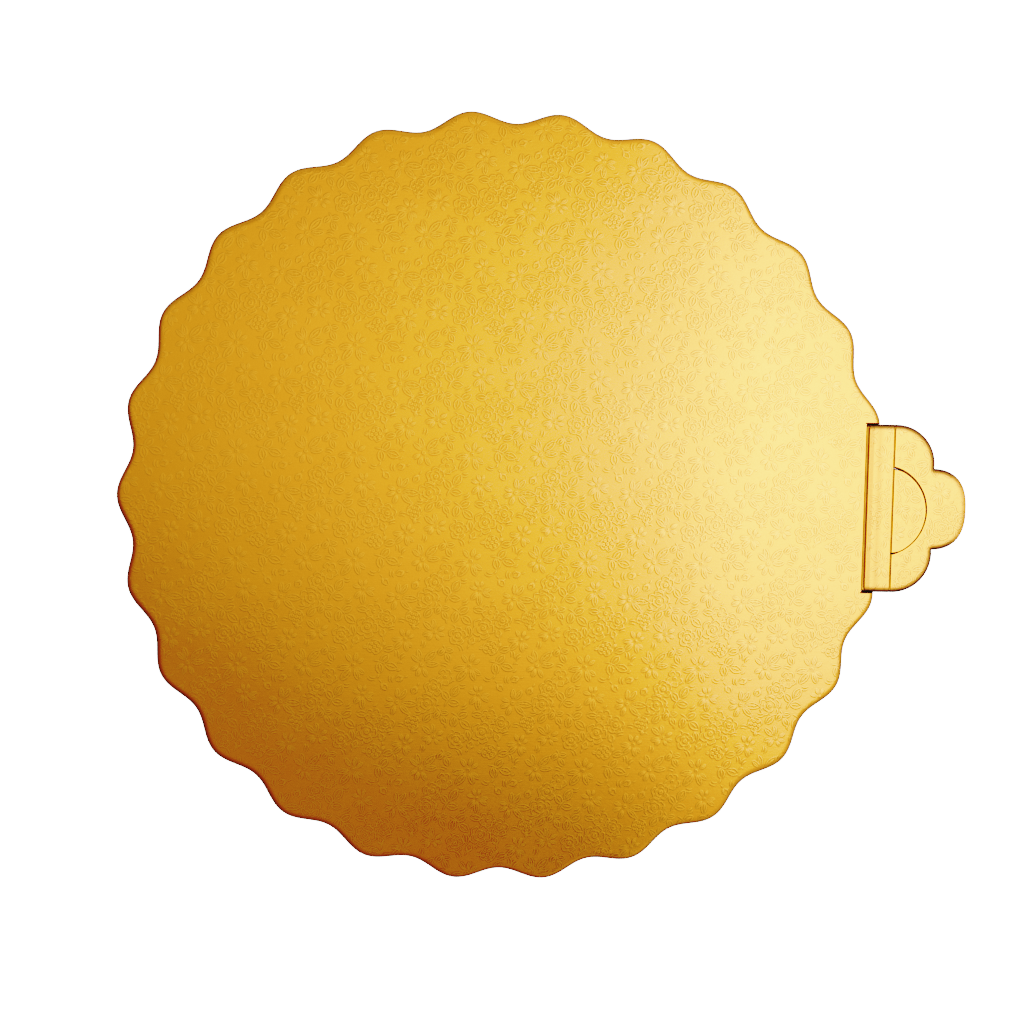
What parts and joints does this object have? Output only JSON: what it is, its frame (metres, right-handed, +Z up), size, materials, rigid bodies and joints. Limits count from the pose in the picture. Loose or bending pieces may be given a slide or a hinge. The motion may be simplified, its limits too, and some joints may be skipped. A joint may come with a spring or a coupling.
{
  "type": "cake board",
  "caption": "Flat round foil-faced cake board with a scalloped edge and a lobed lift tab that folds on half-cut creases around a half-moon cut.",
  "frame": {"origin": "the board's centre on its underside, the face that rests on the table", "axes": "+Z up out of the foil face, +X from the board's centre along the lift tab, +Y to the left of the tab seen from above"},
  "size_m": [0.2805, 0.2524, 0.002],
  "materials": {
    "board_backing_paper": "matte",
    "board_core_lower_ply": "matte",
    "board_core_upper_ply": "matte",
    "board_foil_facing": "satin",
    "band_backing_paper": "matte",
    "band_core_lower_ply": "matte",
    "band_core_upper_ply": "matte",
    "band_foil_facing": "satin",
    "petal_flap_backing_paper": "matte",
    "petal_flap_core_lower_ply": "matte",
    "petal_flap_core_upper_ply": "matte",
    "petal_flap_foil_facing": "satin",
    "tongue_backing_paper": "matte",
    "tongue_core_lower_ply": "matte",
    "tongue_core_upper_ply": "matte",
    "tongue_foil_facing": "satin"
  },
  "bodies": {
    "board": {"board_backing_paper": "board_backing_paper", "board_core_lower_ply": "board_core_lower_ply", "board_core_upper_ply": "board_core_upper_ply", "board_foil_facing": "board_foil_facing"},
    "band": {"band_backing_paper": "band_backing_paper", "band_core_lower_ply": "band_core_lower_ply", "band_core_upper_ply": "band_core_upper_ply", "band_foil_facing": "band_foil_facing"},
    "petal_flap": {"petal_flap_backing_paper": "petal_flap_backing_paper", "petal_flap_core_lower_ply": "petal_flap_core_lower_ply", "petal_flap_core_upper_ply": "petal_flap_core_upper_ply", "petal_flap_foil_facing": "petal_flap_foil_facing"},
    "tongue": {"tongue_backing_paper": "tongue_backing_paper", "tongue_core_lower_ply": "tongue_core_lower_ply", "tongue_core_upper_ply": "tongue_core_upper_ply", "tongue_foil_facing": "tongue_foil_facing"}
  },
  "joints": [
    {"name": "band_fold", "type": "hinge", "parent": "board", "child": "band", "pos_m": [0.1193, 0, 0], "axis": [0, 1, 0], "range_deg": [-28, 90], "stiffness_Nm_per_rad": 0.01},
    {"name": "petal_fold", "type": "hinge", "parent": "band", "child": "petal_flap", "pos_m": [0.1284, 0, 0], "axis": [0, 1, 0], "range_deg": [-12, 90], "stiffness_Nm_per_rad": 0.005},
    {"name": "tongue_fold", "type": "hinge", "parent": "band", "child": "tongue", "pos_m": [0.1284, 0, 0], "axis": [0, 1, 0], "range_deg": [-12, 90], "stiffness_Nm_per_rad": 0.003}
  ]
}
